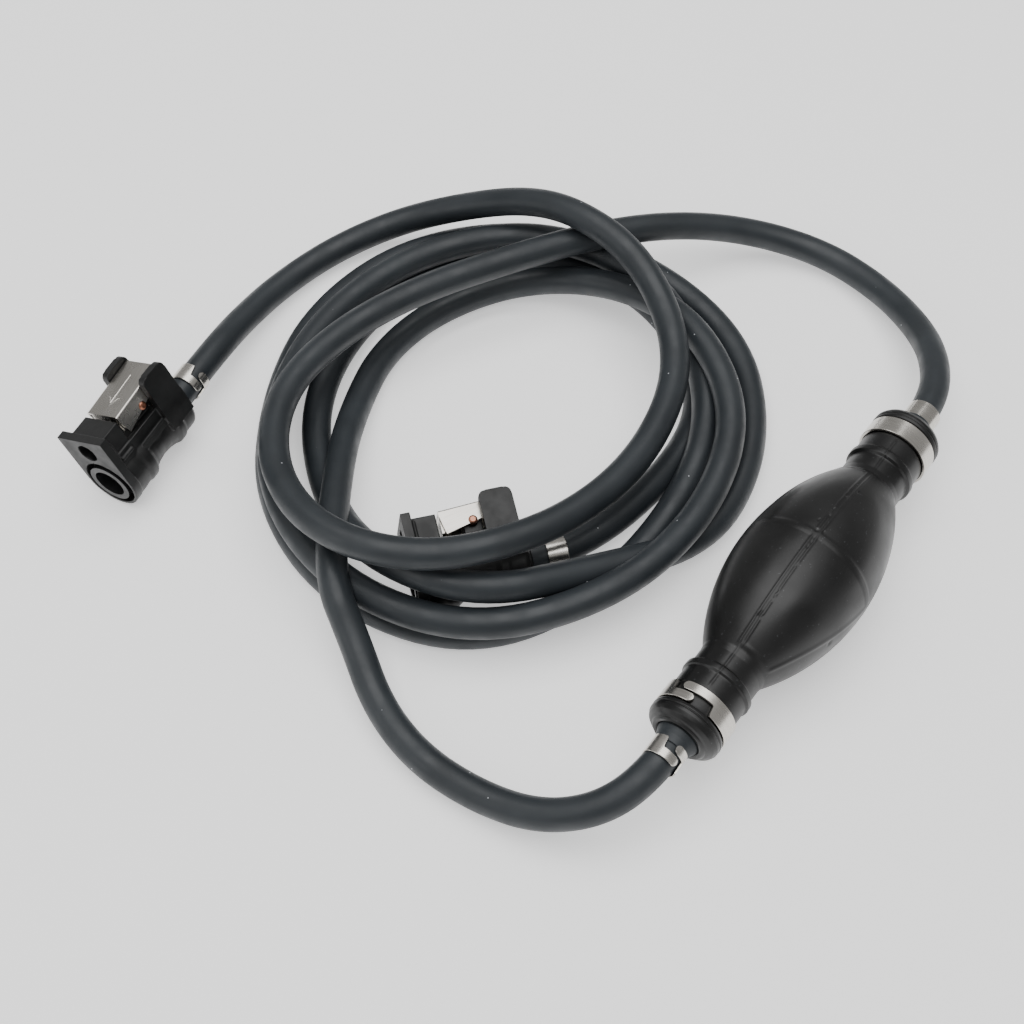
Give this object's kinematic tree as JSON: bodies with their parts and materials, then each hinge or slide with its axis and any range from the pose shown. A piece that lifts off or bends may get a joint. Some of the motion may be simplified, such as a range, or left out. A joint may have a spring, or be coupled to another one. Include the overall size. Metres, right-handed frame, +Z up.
{
  "type": "primer bulb fuel line",
  "caption": "Squeeze bulb hand pump with a check valve at each end, joined by coiled rubber hoses to quick couplings with sprung latch levers",
  "frame": {"origin": "on the ground under the middle of the bulb", "axes": "+X along the bulb in the direction of flow, from the tank side to the engine side; +Z up; +Y towards the coil of hose"},
  "size_m": [0.3132, 0.296, 0.0527],
  "materials": {
    "bulb_rubber": "moulded black rubber, satin, with fine mould lines",
    "hose_rubber": "extruded blue-grey rubber, satin",
    "stainless": "rolled stainless strip, fine brushed",
    "copper_pin": "copper-coloured rivet, turned",
    "coupling_plastic": "moulded black acetal, satin",
    "port_plastic": "moulded dark acetal, slightly glossier than the body",
    "valve_plastic": "natural acetal, moulded",
    "seal_rubber": "nitrile rubber, smooth",
    "spring_steel": "drawn stainless wire"
  },
  "bodies": {
    "root": {"band_clamp_inlet": "stainless", "band_clamp_outlet": "stainless", "bulb": "bulb_rubber", "check_cage_inlet": "valve_plastic", "check_cage_outlet": "valve_plastic", "check_seat_inlet": "seal_rubber", "check_seat_outlet": "seal_rubber", "check_spring_inlet": "spring_steel", "check_spring_outlet": "spring_steel", "engine_coupling_body": "coupling_plastic", "engine_coupling_hose_clamp": "stainless", "engine_coupling_lever_spring": "spring_steel", "engine_coupling_poppet_spring": "spring_steel", "engine_coupling_port_sleeve": "port_plastic", "engine_coupling_seat_washer": "seal_rubber", "engine_coupling_stem_guide": "valve_plastic", "hose_clamp_inlet": "stainless", "hose_clamp_outlet": "stainless", "inlet_hose": "hose_rubber", "inlet_hose_coil": "hose_rubber", "inlet_hose_tail": "hose_rubber", "outlet_hose": "hose_rubber", "tank_coupling_body": "coupling_plastic", "tank_coupling_hose_clamp": "stainless", "tank_coupling_lever_spring": "spring_steel", "tank_coupling_poppet_spring": "spring_steel", "tank_coupling_port_sleeve": "port_plastic", "tank_coupling_seat_washer": "seal_rubber", "tank_coupling_stem_guide": "valve_plastic", "valve_housing_inlet": "valve_plastic", "valve_housing_outlet": "valve_plastic"},
    "inlet_check": {"check_poppet_inlet": "valve_plastic"},
    "outlet_check": {"check_poppet_outlet": "valve_plastic"},
    "engine_shutoff": {"engine_coupling_poppet": "valve_plastic"},
    "tank_shutoff": {"tank_coupling_poppet": "valve_plastic"},
    "engine_latch": {"engine_coupling_latch_lever": "stainless", "engine_coupling_lever_pin": "copper_pin"},
    "tank_latch": {"tank_coupling_latch_lever": "stainless", "tank_coupling_lever_pin": "copper_pin"}
  },
  "joints": [
    {"name": "inlet_check_lift", "type": "slide", "parent": "root", "child": "inlet_check", "axis": [1, 0, 0], "range_m": [0, 0.002], "stiffness_N_per_m": 120, "springref_m": -0.002, "deforming": ["check_spring_inlet"]},
    {"name": "outlet_check_lift", "type": "slide", "parent": "root", "child": "outlet_check", "axis": [1, 0, 0], "range_m": [0, 0.002], "stiffness_N_per_m": 120, "springref_m": -0.002, "deforming": ["check_spring_outlet"]},
    {"name": "engine_shutoff_push", "type": "slide", "parent": "root", "child": "engine_shutoff", "axis": [0.9868, 0.1563, 0.0419], "range_m": [0, 0.003], "stiffness_N_per_m": 400, "springref_m": -0.003, "deforming": ["engine_coupling_poppet_spring"]},
    {"name": "engine_latch_press", "type": "hinge", "parent": "root", "child": "engine_latch", "pos_m": [-0.09142, 0.25309, 0.03092], "axis": [-0.1306, 0.922, -0.3646], "range_deg": [0, 8], "stiffness_Nm_per_rad": 0.35, "springref_deg": -8.59, "deforming": ["engine_coupling_lever_spring"]},
    {"name": "tank_shutoff_push", "type": "slide", "parent": "root", "child": "tank_shutoff", "axis": [0.7854, -0.618, -0.0349], "range_m": [0, 0.003], "stiffness_N_per_m": 400, "springref_m": -0.003, "deforming": ["tank_coupling_poppet_spring"]},
    {"name": "tank_latch_press", "type": "hinge", "parent": "root", "child": "tank_latch", "pos_m": [-0.05029, 0.11483, 0.01722], "axis": [0.1608, 0.2582, -0.9526], "range_deg": [0, 8], "stiffness_Nm_per_rad": 0.35, "springref_deg": -8.59, "deforming": ["tank_coupling_lever_spring"]}
  ]
}
